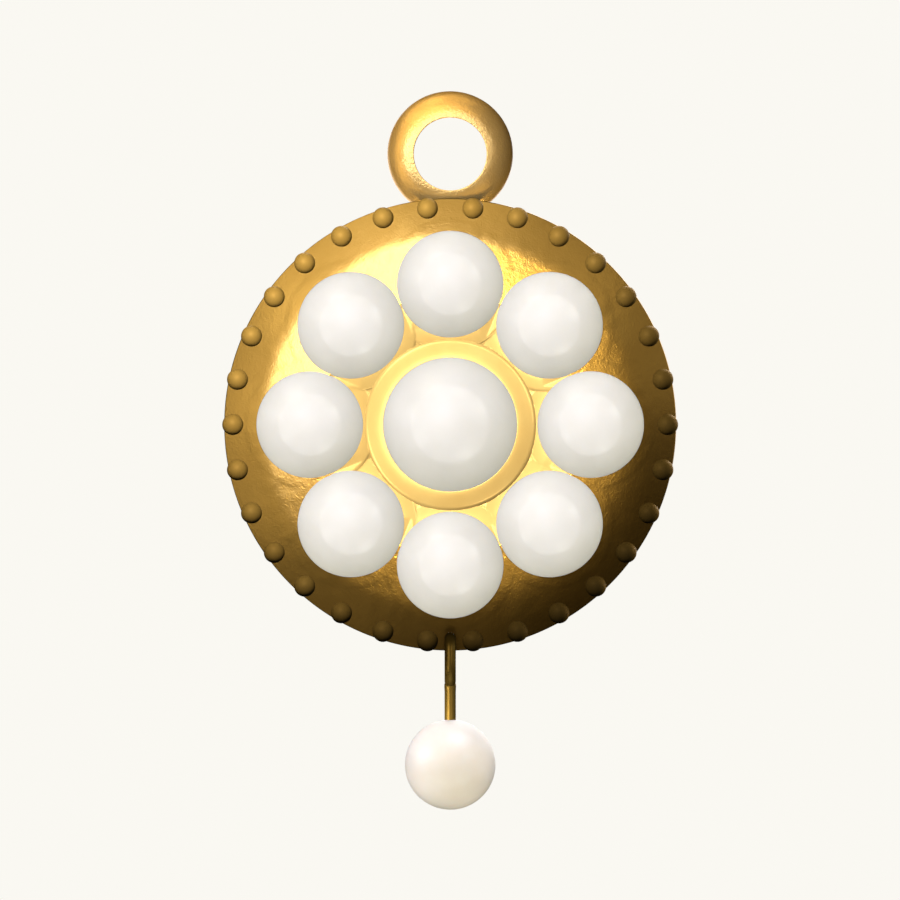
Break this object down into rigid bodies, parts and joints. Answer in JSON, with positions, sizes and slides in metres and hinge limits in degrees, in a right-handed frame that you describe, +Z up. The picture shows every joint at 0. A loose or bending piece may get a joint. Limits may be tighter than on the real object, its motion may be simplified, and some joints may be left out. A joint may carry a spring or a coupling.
{
  "type": "pendant",
  "caption": "Round domed gilt pendant with a ring of cabochon stones round a larger one, a beaded rim, a fixed bail ring and a pearl that swings from a wire loop.",
  "frame": {"origin": "centre of the bail ring's eye, where the pendant hangs", "axes": "+Z up, -Y towards the viewer of the decorated face, +X to that viewer's right"},
  "size_m": [0.0404, 0.0122, 0.0636],
  "materials": {
    "gilt_metal": "polished",
    "polki_stone": "polished",
    "pearl": "satin"
  },
  "bodies": {
    "pendant": {"setting": "gilt_metal", "back_plate": "gilt_metal", "centre_stone": "polki_stone", "outer_stone_1": "polki_stone", "outer_stone_2": "polki_stone", "outer_stone_3": "polki_stone", "outer_stone_4": "polki_stone", "outer_stone_5": "polki_stone", "outer_stone_6": "polki_stone", "outer_stone_7": "polki_stone", "outer_stone_8": "polki_stone"},
    "drop": {"drop_pin": "gilt_metal", "pearl": "pearl"}
  },
  "joints": [
    {"name": "drop_swing", "type": "hinge", "parent": "pendant", "child": "drop", "pos_m": [0, -0.0015, -0.0429], "axis": [0, 1, 0], "range_deg": [-45, 45]}
  ]
}
